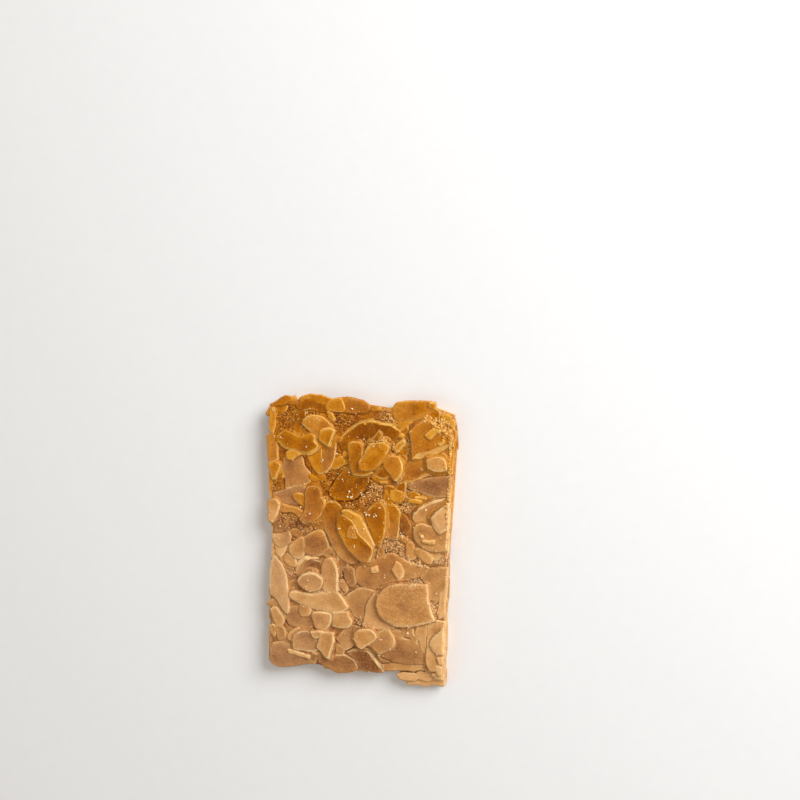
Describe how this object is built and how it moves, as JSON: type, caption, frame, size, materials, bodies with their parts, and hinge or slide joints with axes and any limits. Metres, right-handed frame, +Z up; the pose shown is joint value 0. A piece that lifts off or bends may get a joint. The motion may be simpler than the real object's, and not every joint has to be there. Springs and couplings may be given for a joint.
{
  "type": "almond tuile",
  "caption": "Thin rectangular caramel biscuit with a flat underside, knife-cut sides, one broken corner and overlapping sliced almonds over its upper face.",
  "frame": {"origin": "middle of the flat underside, midway between the knife-cut sides", "axes": "+X across the slab to the side that is on the right in the picture, +Y along the slab to the edge that was uppermost, +Z up out of the almond face"},
  "size_m": [0.0504, 0.0756, 0.007],
  "materials": {
    "caramel_biscuit": "porous baked caramel, amber brown, satin",
    "slice_pale": "lightly roasted sliced almond, thin dried glaze",
    "slice_golden": "golden roasted sliced almond under a thin caramel glaze",
    "slice_toasted": "dark roasted sliced almond under smooth caramel"
  },
  "bodies": {
    "root": {"biscuit": "caramel_biscuit", "almond_slice_01": "slice_golden", "almond_slice_02": "slice_toasted", "almond_slice_03": "slice_golden", "almond_slice_04": "slice_toasted", "almond_slice_05": "slice_toasted", "almond_slice_06": "slice_golden", "almond_slice_07": "slice_golden", "almond_slice_08": "slice_golden", "almond_slice_09": "slice_toasted", "almond_slice_10": "slice_golden", "almond_slice_11": "slice_pale", "almond_slice_12": "slice_golden", "almond_slice_13": "slice_golden", "almond_slice_14": "slice_golden", "almond_slice_15": "slice_golden", "almond_slice_16": "slice_pale", "almond_slice_17": "slice_golden", "almond_slice_18": "slice_golden", "almond_slice_19": "slice_pale", "almond_slice_20": "slice_pale", "almond_slice_21": "slice_pale", "almond_slice_22": "slice_pale", "almond_slice_23": "slice_toasted", "almond_slice_24": "slice_golden", "almond_slice_25": "slice_toasted", "almond_slice_26": "slice_golden", "almond_slice_27": "slice_golden", "almond_slice_28": "slice_golden", "almond_slice_29": "slice_pale", "almond_slice_30": "slice_pale", "almond_slice_31": "slice_pale", "almond_slice_32": "slice_toasted", "almond_slice_33": "slice_golden", "almond_slice_34": "slice_pale", "almond_slice_35": "slice_pale", "almond_slice_36": "slice_pale", "almond_slice_37": "slice_golden", "almond_slice_38": "slice_pale", "almond_slice_39": "slice_pale", "almond_slice_40": "slice_pale", "almond_slice_41": "slice_pale", "almond_slice_42": "slice_pale", "almond_slice_43": "slice_pale", "almond_slice_44": "slice_pale", "almond_slice_45": "slice_pale", "almond_slice_46": "slice_pale", "almond_slice_47": "slice_pale", "almond_slice_48": "slice_pale", "almond_slice_49": "slice_pale", "almond_slice_50": "slice_pale", "almond_slice_51": "slice_pale", "almond_slice_52": "slice_pale", "almond_slice_53": "slice_pale"}
  },
  "joints": []
}
